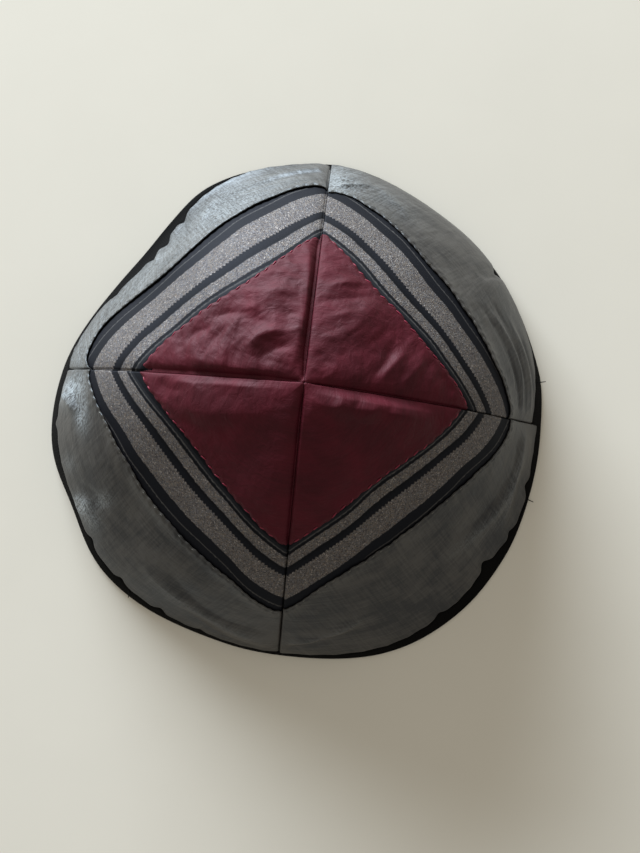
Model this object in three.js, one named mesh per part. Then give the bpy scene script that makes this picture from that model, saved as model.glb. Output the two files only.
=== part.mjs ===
// A lined four-gore skullcap lying on its rim, in millimetres with +Z up.
// The origin is under the middle of the cap, in the plane of the rim. +X runs to the right-hand seam
// and +Y to the back seam. Each gore is pieced from a tip, a ribbon and a skirt over one lining.
import * as THREE from 'three';

// Driving dimensions
const CROWN_HEIGHT = 55;
const APEX_X = 3.84;
const APEX_Y = 1.02;
const APEX_SLOPE = 8;
const LINING_THICKNESS = 1.0;
const CLOTH_THICKNESS = 1.1;
const RIBBON_THICKNESS = 0.8;
const LAYER_GAP = 0.4;
const SEAM_GAP = 0.4;
const TIP_START = 1.2;

// Mesh divisions, and the steps of the searches for a normal and for the rim's plane
const ARC_STEPS = 60;
const COLUMNS_PER_GORE = 18;
const LINING_ROWS = 16;
const TIP_ROWS = 6;
const RIBBON_ROWS = 3;
const SKIRT_ROWS = 5;
const NORMAL_STEP = 0.001;
const APEX_CLEAR = 0.01;
const RIM_SEARCH = { above: 0.8, below: 1.1, halvings: 40 };

// The rim, a row for each quarter of a gore, counter-clockwise from the right-hand seam: the bearing in
// degrees about the apex, the reach from the apex's axis, and the band of lining that shows under the hem.
const RIM = [
  { bearing: -5.7, reach: 80.6, band: 4.5 },
  { bearing: 17.5, reach: 78.9, band: 2.5 },
  { bearing: 40.8, reach: 78.2, band: 2.5 },
  { bearing: 62.5, reach: 79.8, band: 2.5 },
  { bearing: 84.2, reach: 84.2, band: 3.0 },
  { bearing: 105.6, reach: 84.4, band: 4.5 },
  { bearing: 127.0, reach: 80.4, band: 10.0 },
  { bearing: 149.8, reach: 78.4, band: 9.0 },
  { bearing: 172.5, reach: 84.8, band: 4.5 },
  { bearing: 195.0, reach: 89.4, band: 6.5 },
  { bearing: 217.4, reach: 90.2, band: 6.0 },
  { bearing: 240.6, reach: 87.4, band: 4.5 },
  { bearing: 263.7, reach: 85.9, band: 3.5 },
  { bearing: 286.5, reach: 88.2, band: 4.0 },
  { bearing: 309.2, reach: 88.0, band: 5.0 },
  { bearing: 331.7, reach: 83.4, band: 5.5 },
];

// The sections, a row for each seam and each gore's middle in the same order: the degrees that the section
// swings between apex and rim, the share of the reach that the crown runs out before it bends, and the knee
// of the wall as shares of reach and height.
const SECTIONS = [
  { swing: 2.5, crown: 0.70, kneeOut: 0.79, kneeUp: 0.36 },
  { swing: 2.5, crown: 0.42, kneeOut: 0.91, kneeUp: 0.46 },
  { swing: 0.5, crown: 0.50, kneeOut: 0.83, kneeUp: 0.36 },
  { swing: -1.7, crown: 0.88, kneeOut: 0.80, kneeUp: 0.04 },
  { swing: -2.3, crown: 0.56, kneeOut: 0.84, kneeUp: 0.46 },
  { swing: -1.3, crown: 0.32, kneeOut: 0.88, kneeUp: 0.30 },
  { swing: -0.5, crown: 0.44, kneeOut: 0.85, kneeUp: 0.39 },
  { swing: 0.4, crown: 0.34, kneeOut: 0.74, kneeUp: 0.25 },
];

// Dents and soft folds: where each lies in gores from the right-hand seam, its half-width in gores, how far
// it pushes the wall out (in where negative), and the stretch from apex (0) to rim (1) where it fades in.
const FOLDS = [
  { at: 0.12, spread: 0.08, push: 0.7, fadeFrom: 0.60, fadeTo: 0.85 },
  { at: 0.66, spread: 0.12, push: -0.6, fadeFrom: 0.70, fadeTo: 0.95 },
  { at: 1.38, spread: 0.09, push: 1.2, fadeFrom: 0.65, fadeTo: 0.95 },
  { at: 1.60, spread: 0.12, push: -1.5, fadeFrom: 0.60, fadeTo: 0.95 },
  { at: 2.20, spread: 0.10, push: 0.8, fadeFrom: 0.60, fadeTo: 0.90 },
  { at: 2.80, spread: 0.10, push: -0.7, fadeFrom: 0.60, fadeTo: 0.90 },
  { at: 3.30, spread: 0.12, push: 0.8, fadeFrom: 0.60, fadeTo: 0.90 },
  { at: 3.62, spread: 0.10, push: -0.7, fadeFrom: 0.60, fadeTo: 0.90 },
];

// The gores, counter-clockwise from the right-hand seam, with the lengths over the cloth from the apex to the
// tip's edge and to the ribbon's outer edge, at even steps from the gore's first seam to its last.
const GORES = [
  {
    name: 'back_right',
    tip: [52.0, 40.8, 37.6, 40.0, 51.0],
    ribbon: [76.5, 70.3, 65.0, 62.0, 60.6, 60.2, 61.2, 64.8, 69.3, 74.2, 77.3],
  },
  {
    name: 'back_left',
    tip: [51.0, 39.3, 37.0, 42.2, 53.6],
    ribbon: [80.8, 78.0, 73.6, 69.4, 65.8, 63.8, 64.4, 69.4, 77.2, 82.4, 79.6],
  },
  {
    name: 'front_left',
    tip: [53.0, 41.3, 39.0, 42.0, 51.5],
    ribbon: [79.0, 71.4, 66.5, 64.3, 63.7, 63.6, 64.0, 65.3, 67.5, 72.5, 79.0],
  },
  {
    name: 'front_right',
    tip: [50.0, 40.2, 38.4, 41.3, 49.6],
    ribbon: [77.3, 67.6, 62.7, 60.7, 60.2, 60.2, 61.2, 63.2, 66.5, 72.4, 77.3],
  },
];

// Cloths, with the colour and finish of each
const CLOTHS = {
  lining: { color: 0x1d1b1e, roughness: 0.75, metalness: 0 },
  tip: { color: 0x5a2430, roughness: 0.45, metalness: 0 },
  ribbon: { color: 0x6b6766, roughness: 0.5, metalness: 0.2 },
  skirt: { color: 0x4c4d4e, roughness: 0.4, metalness: 0 },
};

const radians = THREE.MathUtils.degToRad;
const mix = THREE.MathUtils.lerp;

// A smooth curve from the second to the third of four even values
function smoothStep([a, b, c, d], t) {
  const slope = c - a;
  const bend = 2 * a - 5 * b + 4 * c - d;
  const twist = 3 * b - a - 3 * c + d;
  return 0.5 * (2 * b + slope * t + bend * t ** 2 + twist * t ** 3);
}

// A column of a table as a smooth closed curve, read at a place in gores; turn is what one lap adds.
function around(table, column, gore, turn = 0) {
  const rows = table.length;
  const place = (gore * rows) / GORES.length;
  const first = Math.floor(place);
  const value = (k) => table[((k % rows) + rows) % rows][column] + turn * Math.floor(k / rows);
  return smoothStep([first - 1, first, first + 1, first + 2].map(value), place - first);
}

// How far the folds push the wall out at a place in gores and a share of the way from apex to rim
function foldPush(gore, t) {
  let push = 0;
  for (const fold of FOLDS) {
    const lap = GORES.length;
    const aside = gore - fold.at - lap * Math.round((gore - fold.at) / lap);
    const fade = THREE.MathUtils.smoothstep(t, fold.fadeFrom, fold.fadeTo);
    push += fold.push * fade * Math.exp(-((aside / fold.spread) ** 2));
  }
  return push;
}

// A point of the lining's outer face, on the curved section at this place in gores
function surfacePoint(gore, t) {
  const reach = around(RIM, 'reach', gore);
  const crownOut = around(SECTIONS, 'crown', gore) * reach;
  const crownDrop = crownOut * Math.tan(radians(APEX_SLOPE));
  const kneeOut = around(SECTIONS, 'kneeOut', gore) * reach;
  const kneeUp = around(SECTIONS, 'kneeUp', gore) * CROWN_HEIGHT;
  const section = new THREE.CubicBezierCurve(
    new THREE.Vector2(0, CROWN_HEIGHT),
    new THREE.Vector2(crownOut, CROWN_HEIGHT - crownDrop),
    new THREE.Vector2(kneeOut, kneeUp),
    new THREE.Vector2(reach, 0),
  );
  const point = section.getPoint(t);
  const out = point.x + foldPush(gore, t);
  const swing = around(SECTIONS, 'swing', gore) * (1 - t);
  const bearing = radians(around(RIM, 'bearing', gore, 360) - swing);
  return new THREE.Vector3(APEX_X + out * Math.cos(bearing), APEX_Y + out * Math.sin(bearing), point.y);
}

// The same point moved outwards along the surface's normal
function raisedPoint(gore, t, raise) {
  const inside = Math.max(t, APEX_CLEAR);
  const along = surfacePoint(gore, inside + NORMAL_STEP).sub(surfacePoint(gore, inside - NORMAL_STEP));
  const across = surfacePoint(gore + NORMAL_STEP, inside).sub(surfacePoint(gore - NORMAL_STEP, inside));
  const normal = along.cross(across).normalize();
  return surfacePoint(gore, t).addScaledVector(normal, raise);
}

// Lengths over the cloth from the apex, at even steps down the section
function arcLengths(gore) {
  const lengths = [0];
  let last = surfacePoint(gore, 0);
  for (let k = 1; k <= ARC_STEPS; k += 1) {
    const next = surfacePoint(gore, k / ARC_STEPS);
    lengths.push(lengths[k - 1] + next.distanceTo(last));
    last = next;
  }
  return lengths;
}

// The share of the way down the section at which a length over the cloth is reached
function shareAt(gore, length) {
  const lengths = arcLengths(gore);
  let k = 1;
  while (k < ARC_STEPS && lengths[k] < length) {
    k += 1;
  }
  return (k - 1 + (length - lengths[k - 1]) / (lengths[k] - lengths[k - 1])) / ARC_STEPS;
}

// The length over the cloth to a cut across a gore, on a smooth curve through its lengths, at a share of the
// gore's width
function cutLength(lengths, share) {
  const last = lengths.length - 1;
  const first = Math.min(Math.floor(share * last), last - 1);
  const before = (a, b, c) => 3 * a - 3 * b + c;
  const ahead = before(lengths[last], lengths[last - 1], lengths[last - 2]);
  const padded = [before(lengths[0], lengths[1], lengths[2]), ...lengths, ahead];
  return smoothStep(padded.slice(first, first + 4), share * last - first);
}

// The length over the cloth to the hem
function hemCut(gore) {
  return arcLengths(gore)[ARC_STEPS] - around(RIM, 'band', gore);
}

// A geometry from a list of points and one of triangles
function facets(points, triangles) {
  const geometry = new THREE.BufferGeometry();
  geometry.setAttribute('position', new THREE.Float32BufferAttribute(points.flatMap((p) => p.toArray()), 3));
  geometry.setIndex(triangles.flat());
  geometry.computeVertexNormals();
  return geometry;
}

// The share of a gore's width that half the seam gap takes at a length from the apex
function seamMargin(place, length) {
  const point = surfacePoint(place, shareAt(place, length));
  const quarterTurn = (Math.PI / 2) * Math.hypot(point.x - APEX_X, point.y - APEX_Y);
  return SEAM_GAP / 2 / quarterTurn;
}

// A closed patch of cloth between an upper and a lower cut of one gore
function patch(gore, rows, upperCut, lowerCut, thickness) {
  const points = [];
  const triangles = [];
  const layer = (COLUMNS_PER_GORE + 1) * (rows + 1);
  const index = (face, column, row) => face * layer + row * (COLUMNS_PER_GORE + 1) + column;
  for (const raise of [LAYER_GAP + thickness, LAYER_GAP]) {
    for (let row = 0; row <= rows; row += 1) {
      for (let column = 0; column <= COLUMNS_PER_GORE; column += 1) {
        const share = column / COLUMNS_PER_GORE;
        const length = mix(upperCut(share), lowerCut(share), row / rows);
        const margin = seamMargin(gore + share, length);
        const place = gore + mix(margin, 1 - margin, share);
        points.push(raisedPoint(place, shareAt(place, length), raise));
      }
    }
  }
  const quad = (a, b, c, d) => triangles.push([a, b, c], [a, c, d]);
  for (let row = 0; row < rows; row += 1) {
    for (let column = 0; column < COLUMNS_PER_GORE; column += 1) {
      const corners = [[column, row], [column, row + 1], [column + 1, row + 1], [column + 1, row]];
      quad(...corners.map(([c, r]) => index(0, c, r)));
      quad(...corners.reverse().map(([c, r]) => index(1, c, r)));
    }
  }
  const border = [];
  for (let row = 0; row < rows; row += 1) {
    border.push([0, row]);
  }
  for (let column = 0; column < COLUMNS_PER_GORE; column += 1) {
    border.push([column, rows]);
  }
  for (let row = rows; row > 0; row -= 1) {
    border.push([COLUMNS_PER_GORE, row]);
  }
  for (let column = COLUMNS_PER_GORE; column > 0; column -= 1) {
    border.push([column, 0]);
  }
  border.forEach((here, k) => {
    const next = border[(k + 1) % border.length];
    quad(index(0, ...next), index(0, ...here), index(1, ...here), index(1, ...next));
  });
  return facets(points, triangles);
}

// The share of the way down at which a face set in from the surface comes down to the rim's plane
function rimShare(gore, raise) {
  let { above, below } = RIM_SEARCH;
  for (let k = 0; k < RIM_SEARCH.halvings; k += 1) {
    const middle = (above + below) / 2;
    if (raisedPoint(gore, middle, raise).z > 0) {
      above = middle;
    } else {
      below = middle;
    }
  }
  return (above + below) / 2;
}

// The lining: a whole dome with an open rim, cut flat in the rim's plane
function liningShell() {
  const columns = COLUMNS_PER_GORE * GORES.length;
  const points = [];
  const triangles = [];
  const layer = 1 + columns * LINING_ROWS;
  const index = (face, column, row) => face * layer + 1 + (row - 1) * columns + (column % columns);
  for (const raise of [0, -LINING_THICKNESS]) {
    points.push(new THREE.Vector3(APEX_X, APEX_Y, CROWN_HEIGHT + raise));
    for (let row = 1; row <= LINING_ROWS; row += 1) {
      for (let column = 0; column < columns; column += 1) {
        const gore = column / COLUMNS_PER_GORE;
        const length = (arcLengths(gore)[ARC_STEPS] * row) / LINING_ROWS;
        const point = raisedPoint(gore, shareAt(gore, length) * rimShare(gore, raise), raise);
        if (row === LINING_ROWS) {
          point.z = 0;
        }
        points.push(point);
      }
    }
  }
  for (let column = 0; column < columns; column += 1) {
    triangles.push([0, index(0, column, 1), index(0, column + 1, 1)]);
    triangles.push([layer, index(1, column + 1, 1), index(1, column, 1)]);
    for (let row = 1; row < LINING_ROWS; row += 1) {
      const corners = [[column, row], [column, row + 1], [column + 1, row + 1], [column + 1, row]];
      const [a, b, c, d] = corners.map(([i, j]) => index(0, i, j));
      triangles.push([a, b, c], [a, c, d]);
      const [e, f, g, h] = corners.reverse().map(([i, j]) => index(1, i, j));
      triangles.push([e, f, g], [e, g, h]);
    }
    const [outer, outerNext] = [index(0, column, LINING_ROWS), index(0, column + 1, LINING_ROWS)];
    const [inner, innerNext] = [index(1, column, LINING_ROWS), index(1, column + 1, LINING_ROWS)];
    triangles.push([outerNext, outer, inner], [outerNext, inner, innerNext]);
  }
  return facets(points, triangles);
}

function piece(name, cloth, geometry) {
  const mesh = new THREE.Mesh(geometry, new THREE.MeshStandardMaterial(CLOTHS[cloth]));
  mesh.name = name;
  return mesh;
}

const cap = new THREE.Group();
cap.add(piece('lining', 'lining', liningShell()));

GORES.forEach(({ name, tip, ribbon }, gore) => {
  const tipTop = () => TIP_START;
  const tipEdge = (share) => cutLength(tip, share);
  const ribbonTop = (share) => tipEdge(share) + SEAM_GAP;
  const ribbonEdge = (share) => cutLength(ribbon, share);
  const skirtTop = (share) => ribbonEdge(share) + SEAM_GAP;
  const hem = (share) => hemCut(gore + share);
  const tipShell = patch(gore, TIP_ROWS, tipTop, tipEdge, CLOTH_THICKNESS);
  const ribbonShell = patch(gore, RIBBON_ROWS, ribbonTop, ribbonEdge, RIBBON_THICKNESS);
  const skirtShell = patch(gore, SKIRT_ROWS, skirtTop, hem, CLOTH_THICKNESS);
  cap.add(piece(`tip_${name}`, 'tip', tipShell));
  cap.add(piece(`ribbon_${name}`, 'ribbon', ribbonShell));
  cap.add(piece(`skirt_${name}`, 'skirt', skirtShell));
});

export default cap;
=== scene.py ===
import math

import bmesh
import bpy
import numpy as np
from mathutils import Matrix, Vector


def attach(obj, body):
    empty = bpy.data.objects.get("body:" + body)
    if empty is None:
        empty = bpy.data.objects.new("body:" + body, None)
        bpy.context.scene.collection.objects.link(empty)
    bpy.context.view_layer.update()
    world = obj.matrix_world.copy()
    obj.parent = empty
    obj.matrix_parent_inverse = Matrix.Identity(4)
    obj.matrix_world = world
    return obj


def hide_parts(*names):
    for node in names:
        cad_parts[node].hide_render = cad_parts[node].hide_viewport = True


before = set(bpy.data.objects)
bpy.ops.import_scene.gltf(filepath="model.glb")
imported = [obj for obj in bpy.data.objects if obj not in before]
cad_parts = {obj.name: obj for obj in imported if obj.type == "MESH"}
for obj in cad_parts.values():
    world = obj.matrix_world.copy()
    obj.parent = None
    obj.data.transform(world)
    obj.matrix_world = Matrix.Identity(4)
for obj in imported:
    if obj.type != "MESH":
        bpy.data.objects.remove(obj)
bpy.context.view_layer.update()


# Lining: four gores of thin black cotton, joined along the same four seams as the outside. It fills the whole
# cap, rolls over at the rim and is turned up under the hem, so a narrow black band shows all round the edge.
MM = 0.001
GORES = ("back_right", "back_left", "front_left", "front_right")
CROWN_HEIGHT = 55.0
APEX = (3.84, 1.02)
APEX_SLOPE = math.radians(8.0)

# The rim, a row for each quarter of a gore from the right-hand seam round by the back: the bearing about the
# apex in degrees, and the reach from the apex's axis in millimetres.
RIM = np.array([
    (-5.7, 80.6), (17.5, 78.9), (40.8, 78.2), (62.5, 79.8),
    (84.2, 84.2), (105.6, 84.4), (127.0, 80.4), (149.8, 78.4),
    (172.5, 84.8), (195.0, 89.4), (217.4, 90.2), (240.6, 87.4),
    (263.7, 85.9), (286.5, 88.2), (309.2, 88.0), (331.7, 83.4),
])

# The sections, a row for each seam and each gore's middle in the same order: the degrees that the section
# swings between apex and rim, the share of the reach that the crown runs out before it bends, and the knee of
# the wall as shares of reach and height.
SECTIONS = np.array([
    (2.5, 0.70, 0.79, 0.36), (2.5, 0.42, 0.91, 0.46), (0.5, 0.50, 0.83, 0.36), (-1.7, 0.88, 0.80, 0.04),
    (-2.3, 0.56, 0.84, 0.46), (-1.3, 0.32, 0.88, 0.30), (-0.5, 0.44, 0.85, 0.39), (0.4, 0.34, 0.74, 0.25),
])

# Dents of the wall: the place in gores, the half-width in gores, the push outwards in millimetres, and the
# shares of the way from apex to rim between which it fades in.
DENTS = (
    (0.12, 0.08, 0.7, 0.60, 0.85), (0.66, 0.12, -0.6, 0.70, 0.95), (1.38, 0.09, 1.2, 0.65, 0.95),
    (1.60, 0.12, -1.5, 0.60, 0.95), (2.20, 0.10, 0.8, 0.60, 0.90), (2.80, 0.10, -0.7, 0.60, 0.90),
    (3.30, 0.12, 0.8, 0.60, 0.90), (3.62, 0.10, -0.7, 0.60, 0.90), (0.58, 0.36, 1.9, 0.65, 0.95),
    (1.12, 0.10, -1.2, 0.70, 0.95), (2.24, 0.12, -0.9, 0.75, 1.00), (2.36, 0.11, -2.4, 0.75, 1.00),
    (3.66, 0.10, 0.9, 0.75, 1.00),
)

# The hem of the outer cloth in each gore: lengths over the cloth from the apex, at tenths of the gore's width
HEMS = np.array([
    (93.8, 95.0, 97.6, 97.8, 97.8, 98.3, 98.8, 99.2, 100.0, 101.0, 102.0),
    (102.4, 103.0, 103.0, 102.0, 100.2, 97.2, 93.4, 93.2, 96.6, 98.2, 97.2),
    (96.2, 97.8, 97.8, 99.0, 100.6, 101.2, 101.0, 101.0, 101.0, 101.2, 101.4),
    (101.2, 101.4, 101.4, 101.4, 100.4, 99.4, 97.8, 99.2, 99.2, 97.2, 97.4),
])

# Puckers where a hem stitch draws the cloth up: the place in gores, half-width in gores and depth
PUCKERS = (
    (0.43, 0.012, 5.5), (1.465, 0.014, 2.2), (1.545, 0.016, 3.8), (1.605, 0.012, 2.4), (1.76, 0.016, 1.6),
    (2.14, 0.012, -1.2), (2.45, 0.014, 1.6), (2.57, 0.012, 1.3), (2.69, 0.012, 1.5), (2.80, 0.012, 1.0),
    (3.42, 0.014, 1.4), (3.59, 0.016, 2.0), (3.70, 0.012, 1.0), (3.83, 0.016, 1.6),
)

# Small scallops of the hem: their depth, and the radians in a gore of the scallops and of their drift
HEM_SCALLOP, SCALLOP_TURN, SCALLOP_DRIFT = 0.35, 57.0, 9.0

# About how many times as wide as long a gore is, down to the length from the apex where it is widest
GORE_SPREAD = 1.45
GORE_WIDEST = 75

# The roll at the rim: its radius, the lift of its middle, and how far short of the rim it begins
ROLL_RADIUS = 0.55
ROLL_MIDDLE = -0.1
ROLL_SHORT = 1.2

# The lining lies this deep inside, puffs in beside its seams and ripples, and ends in a tuck behind the hem.
LINING_DEPTH = 0.5
LINING_PUFF = 0.45
LINING_SEAM = 1.6
LINING_RIPPLE = 0.12
TUCK = 4.0
LINING_THICKNESS = 0.35
LINING_COLUMNS = 320


def linear(code):
    """An sRGB hex colour as linear red, green, blue and alpha"""
    parts = [int(code[k:k + 2], 16) / 255 for k in (1, 3, 5)]
    return [p / 12.92 if p <= 0.04045 else ((p + 0.055) / 1.055) ** 2.4 for p in parts] + [1.0]


def plain_material(name):
    """A material with no nodes yet"""
    made = bpy.data.materials.new(name)
    made.use_nodes = True
    made.node_tree.nodes.clear()
    return made


def node(material, kind, settings=None, links=None, stops=()):
    """Adds a node to a material, with its settings, its sockets linked or set, and a ramp's stops"""
    made = material.node_tree.nodes.new(kind)
    for name, value in (settings or {}).items():
        setattr(made, name, value)
    for socket, value in (links or {}).items():
        if isinstance(value, bpy.types.NodeSocket):
            material.node_tree.links.new(value, made.inputs[socket])
        else:
            made.inputs[socket].default_value = value
    if stops:
        elements = made.color_ramp.elements
        elements.remove(elements[1])
        elements[0].position = stops[0][0]
        elements[0].color = linear(stops[0][1])
        for at, code in stops[1:]:
            elements.new(at).color = linear(code)
    return made


def through(a, b, c, d, t):
    """A smooth curve from b to c, for t from 0 to 1, with a and d as the values before and after"""
    square, cube = 2 * a - 5 * b + 4 * c - d, 3 * b - a - 3 * c + d
    return 0.5 * (2 * b + (c - a) * t + square * t ** 2 + cube * t ** 3)


def around(column, place, turn=0.0):
    """A table's column as a smooth closed curve, at places in gores; turn is what one lap adds"""
    rows = len(column)
    at = place * rows / len(GORES)
    first = np.floor(at).astype(int)
    a, b, c, d = (column[k % rows] + turn * (k // rows) for k in (first - 1, first, first + 1, first + 2))
    return through(a, b, c, d, at - first)


def across(values, share):
    """Values at even steps across a gore as a smooth curve, at shares of the gore's width"""
    padded = np.concatenate([
        [3 * values[0] - 3 * values[1] + values[2]], values, [3 * values[-1] - 3 * values[-2] + values[-3]],
    ])
    at = np.clip(share, 0, 1) * (len(values) - 1)
    first = np.minimum(np.floor(at).astype(int), len(values) - 2)
    return through(padded[first], padded[first + 1], padded[first + 2], padded[first + 3], at - first)


def ease(low, high, value):
    """A smooth step from 0 at low to 1 at high"""
    t = np.clip((value - low) / (high - low), 0, 1)
    return t * t * (3 - 2 * t)


def gores_apart(place, at):
    """How many gores a place lies past another, by the shorter way round the cap"""
    return place - at - len(GORES) * np.round((place - at) / len(GORES))


def wall_point(place, share):
    """A point of the cap's wall, at a place in gores and a share of the way from apex to rim"""
    reach = around(RIM[:, 1], place)
    swing, crown, knee_out, knee_up = (around(SECTIONS[:, k], place) for k in range(4))
    left = 1 - share
    near, far, end = 3 * left ** 2 * share, 3 * left * share ** 2, share ** 3
    out = (near * crown + far * knee_out + end) * reach
    crown_drop = crown * reach * math.tan(APEX_SLOPE)
    up = left ** 3 * CROWN_HEIGHT + near * (CROWN_HEIGHT - crown_drop) + far * knee_up * CROWN_HEIGHT
    for at, spread, push, start, stop in DENTS:
        out = out + push * ease(start, stop, share) * np.exp(-(gores_apart(place, at) / spread) ** 2)
    bearing = np.radians(around(RIM[:, 0], place, 360.0) - swing * left)
    return np.stack([APEX[0] + out * np.cos(bearing), APEX[1] + out * np.sin(bearing), up], -1)


# Shares of the way down at even lengths over the cloth, for places close together, and the length to the rim
places = np.linspace(0, len(GORES), 385)
shares = np.linspace(0, 1.08, 109)
even_step = 0.5
even_lengths = np.arange(0, 120, even_step)
wall = wall_point(*np.meshgrid(places, shares, indexing="ij"))
down = np.cumsum(np.linalg.norm(np.diff(wall, axis=1), axis=-1), axis=1)
down = np.concatenate([np.zeros((len(places), 1)), down], axis=1)
share_table = np.array([np.interp(even_lengths, row, shares) for row in down])
rim_lengths = np.array([np.interp(1.0, shares, row) for row in down])


def rim_length(place):
    """The length over the cloth from the apex to the rim"""
    return np.interp(place % len(GORES), places, rim_lengths)


def hem_length(place):
    """The length over the cloth from the apex to the scalloped hem"""
    lap = place % len(GORES)
    gore = np.minimum(np.floor(lap).astype(int), len(GORES) - 1)
    share = lap - gore
    length = sum(np.where(gore == k, across(HEMS[k], share), 0.0) for k in range(len(GORES)))
    for at, half, depth in PUCKERS:
        length = length - depth * np.exp(-(gores_apart(lap, at) / half) ** 2)
    return length - HEM_SCALLOP * np.abs(np.sin(lap * SCALLOP_TURN + np.sin(lap * SCALLOP_DRIFT)))


# Normals are taken over a nudge to each side, and no nearer to the apex than a small share of the way.
NUDGE = 0.001
APEX_SHARE = 0.012


def wall_frame(place, length):
    """Points of the wall with its outward normals, at places in gores and lengths from the apex"""
    column = np.clip(place, 0, len(GORES)) / (places[1] - places[0])
    row = np.clip(length, 0, even_lengths[-2]) / even_step
    i = np.minimum(column.astype(int), len(places) - 2)
    j = np.minimum(row.astype(int), len(even_lengths) - 2)
    x, y = column - i, row - j
    first = share_table[i, j] * (1 - y) + share_table[i, j + 1] * y
    last = share_table[i + 1, j] * (1 - y) + share_table[i + 1, j + 1] * y
    share = first * (1 - x) + last * x
    inside = np.maximum(share, APEX_SHARE)
    along = wall_point(place, inside + NUDGE) - wall_point(place, inside - NUDGE)
    aside = wall_point(place + NUDGE, inside) - wall_point(place - NUDGE, inside)
    normal = np.cross(along, aside)
    return wall_point(place, share), normal / np.linalg.norm(normal, axis=-1, keepdims=True)


def ripple(x, y, pitch, seed):
    """Gentle waves of about one pitch that run every way, from -1 to 1"""
    chance = np.random.default_rng(seed)
    height = np.zeros_like(x)
    for _ in range(6):
        angle, phase = chance.uniform(0, 2 * math.pi, 2)
        size = pitch * chance.uniform(0.7, 1.6)
        height += np.sin(2 * math.pi * (x * math.cos(angle) + y * math.sin(angle)) / size + phase)
    return height / 4


def finished(name, shape):
    """An object in the scene from a bmesh, which is freed"""
    mesh = bpy.data.meshes.new(name)
    shape.to_mesh(mesh)
    shape.free()
    made = bpy.data.objects.new(name, mesh)
    bpy.context.scene.collection.objects.link(made)
    return made


def cloth_piece(name, points, chart, weld=None, painted_shade_and_sheen=None):
    """A piece of cloth on a grid of points in millimetres, with a map of its own in millimetres"""
    rows, columns = points.shape[0] - 1, points.shape[1] - 1
    grid = bmesh.new()
    bmesh.ops.create_grid(grid, x_segments=columns, y_segments=rows, size=0.5)
    piece = finished(name, grid)
    mesh = piece.data
    flat = np.empty(len(mesh.vertices) * 3)
    mesh.vertices.foreach_get("co", flat)
    flat = flat.reshape(-1, 3)
    column = np.rint((flat[:, 0] + 0.5) * columns).astype(int)
    row = np.rint((0.5 - flat[:, 1]) * rows).astype(int)
    mesh.vertices.foreach_set("co", (points[row, column] * MM).ravel())
    corner = np.empty(len(mesh.loops), int)
    mesh.loops.foreach_get("vertex_index", corner)
    layer = mesh.uv_layers.new(name="cloth")
    layer.uv.foreach_set("vector", chart[row, column][corner].ravel())
    # The point attribute holds painted shade on the ribbons and painted sheen on the skirts.
    if painted_shade_and_sheen is not None:
        mesh.attributes.new("painted_shade_and_sheen", "FLOAT", "POINT").data.foreach_set("value", painted_shade_and_sheen[row, column])
    if weld:
        shell = bmesh.new()
        shell.from_mesh(mesh)
        bmesh.ops.remove_doubles(shell, verts=shell.verts, dist=weld * MM)
        shell.to_mesh(mesh)
        shell.free()
    mesh.shade_smooth()
    mesh.update()
    return piece


def give_thickness(piece, thickness, offset):
    """Gives a piece of cloth its thickness, inwards for an offset of -1"""
    wall = piece.modifiers.new("thickness", "SOLIDIFY")
    wall.thickness = thickness * MM
    wall.offset = offset


# The lining's grid goes down the inside, round the roll and up behind the hem. Its map takes a gore as 100 mm.
place = np.linspace(0, len(GORES), LINING_COLUMNS + 1)
roll, hem = rim_length(place) - ROLL_SHORT, hem_length(place)
lap = place * 100
seam_aside = np.abs(place - np.round(place))
length_rows, lift_rows = [], []
for share in np.linspace(0, 1, 72):
    length = roll * share
    from_seam = seam_aside * GORE_SPREAD * np.minimum(length, GORE_WIDEST)
    puff = LINING_PUFF * (1 - np.exp(-(from_seam / LINING_SEAM) ** 2))
    puff = puff + LINING_RIPPLE * ripple(lap, length, 34, 11)
    length_rows.append(length)
    lift_rows.append(-LINING_DEPTH - puff * ease(0, 8, roll - length))
for turn in np.linspace(0, math.pi, 10)[1:-1]:
    length_rows.append(roll + ROLL_RADIUS * math.sin(turn))
    lift_rows.append(ROLL_MIDDLE - ROLL_RADIUS * math.cos(turn) + 0 * roll)
for share in np.linspace(0, 1, 22):
    length = roll + (hem - TUCK - roll) * share
    lift = ROLL_MIDDLE + ROLL_RADIUS * ease(-0.6, 1.4, length - hem)
    length_rows.append(length)
    lift_rows.append(lift + LINING_RIPPLE * ripple(lap, length, 21, 12))
length, lift = np.array(length_rows), np.array(lift_rows)
point, normal = wall_frame(place + 0 * length, length)
point = point + normal * lift[..., None]
point[..., 2] = np.maximum(point[..., 2], LINING_THICKNESS / 2)
lining = cloth_piece("black_lining", point, np.stack([lap + 0 * length, length], -1), weld=0.02)
give_thickness(lining, LINING_THICKNESS, 0)

# Plain-woven cotton: matt black that greys a little on crests and in worn patches of about 8 mm. The threads
# are about 0.35 mm apart in the real cloth and are drawn at 0.7 mm, or they would not show.
THREAD_PITCH = 0.7
WORN_PATCH = 8.33
WAVE_LENGTH = 0.314  # of a wave texture at a scale of 1
cotton = plain_material("black cotton lawn")
chart = node(cotton, "ShaderNodeUVMap", {"uv_map": "cloth"})
threads = {"Vector": chart.outputs[0], "Scale": WAVE_LENGTH / THREAD_PITCH, "Distortion": 1.2, "Detail": 1.0}
warp = node(cotton, "ShaderNodeTexWave", {"bands_direction": "X"}, threads)
weft = node(cotton, "ShaderNodeTexWave", {"bands_direction": "Y"}, threads)
weave = node(cotton, "ShaderNodeMath", {"operation": "MULTIPLY"}, {0: warp.outputs[1], 1: weft.outputs[1]})
fade = node(cotton, "ShaderNodeTexNoise", {}, {
    "Vector": chart.outputs[0], "Scale": 1 / WORN_PATCH, "Detail": 4.0})
shade = node(cotton, "ShaderNodeMath", {"operation": "MULTIPLY_ADD"}, {
    0: weave.outputs[0], 1: 0.35, 2: fade.outputs[0]})
tone = node(cotton, "ShaderNodeValToRGB", {}, {0: shade.outputs[0]}, ((0.35, "#060607"), (0.95, "#0d0d0e")))
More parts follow.
